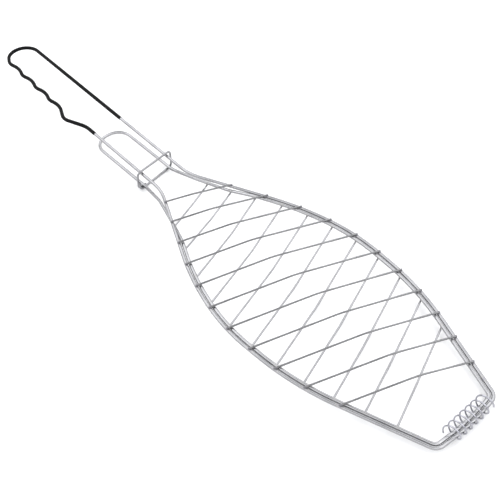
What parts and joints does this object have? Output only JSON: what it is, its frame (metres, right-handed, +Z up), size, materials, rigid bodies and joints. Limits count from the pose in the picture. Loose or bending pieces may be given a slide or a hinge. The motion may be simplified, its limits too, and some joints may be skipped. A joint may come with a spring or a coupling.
{
  "type": "fish grill basket",
  "caption": "Hinged wire basket for holding a whole fish over a grill, with a long coated handle and a sliding lock ring.",
  "frame": {"origin": "middle of the basket's footprint, on the surface that it rests on", "axes": "+X from the tail hinge towards the handle's end, +Y across to the side with the finger recesses, +Z up"},
  "size_m": [0.6072, 0.1504, 0.0259],
  "materials": {
    "top_frame_wire": "bright plated steel wire with slight dulling",
    "bottom_frame_wire": "bright plated steel wire with slight dulling",
    "top_mesh_wire": "bright plated steel wire with slight dulling",
    "bottom_mesh_wire": "bright plated steel wire with slight dulling",
    "coil_wire": "bright plated steel wire with slight dulling",
    "ring_wire": "bright plated steel wire with slight dulling",
    "dipped_coating": "satin black dipped coating"
  },
  "bodies": {
    "bottom_half": {"bottom_frame": "bottom_frame_wire", "bottom_cross_wire_01": "bottom_mesh_wire", "bottom_cross_wire_02": "bottom_mesh_wire", "bottom_cross_wire_03": "bottom_mesh_wire", "bottom_cross_wire_04": "bottom_mesh_wire", "bottom_cross_wire_05": "bottom_mesh_wire", "bottom_cross_wire_06": "bottom_mesh_wire", "bottom_cross_wire_07": "bottom_mesh_wire", "bottom_cross_wire_08": "bottom_mesh_wire", "bottom_cross_wire_09": "bottom_mesh_wire", "bottom_cross_wire_10": "bottom_mesh_wire", "bottom_cross_wire_11": "bottom_mesh_wire"},
    "hinge_coil": {"hinge_coil": "coil_wire"},
    "top_half": {"top_frame": "top_frame_wire", "handle_coating": "dipped_coating", "top_cross_wire_01": "top_mesh_wire", "top_cross_wire_02": "top_mesh_wire", "top_cross_wire_03": "top_mesh_wire", "top_cross_wire_04": "top_mesh_wire", "top_cross_wire_05": "top_mesh_wire", "top_cross_wire_06": "top_mesh_wire", "top_cross_wire_07": "top_mesh_wire", "top_cross_wire_08": "top_mesh_wire", "top_cross_wire_09": "top_mesh_wire", "top_cross_wire_10": "top_mesh_wire", "top_cross_wire_11": "top_mesh_wire"},
    "lock_ring": {"lock_ring": "ring_wire"}
  },
  "joints": [
    {"name": "top_swing", "type": "hinge", "parent": "bottom_half", "child": "top_half", "pos_m": [-0.29967, 0, 0.00524], "axis": [0, -1, 0], "range_deg": [0, 175]},
    {"name": "coil_swing", "type": "hinge", "parent": "bottom_half", "child": "hinge_coil", "pos_m": [-0.29626, 0, 0.00505], "axis": [0, -1, 0], "range_deg": [0, 87.5]},
    {"name": "ring_slide", "type": "slide", "parent": "top_half", "child": "lock_ring", "axis": [0.9995, 0, 0.0313], "range_m": [-0.01, 0.084]}
  ],
  "couplings": [
    {"joint": "coil_swing", "follows": "top_swing", "ratio": 0.5}
  ]
}
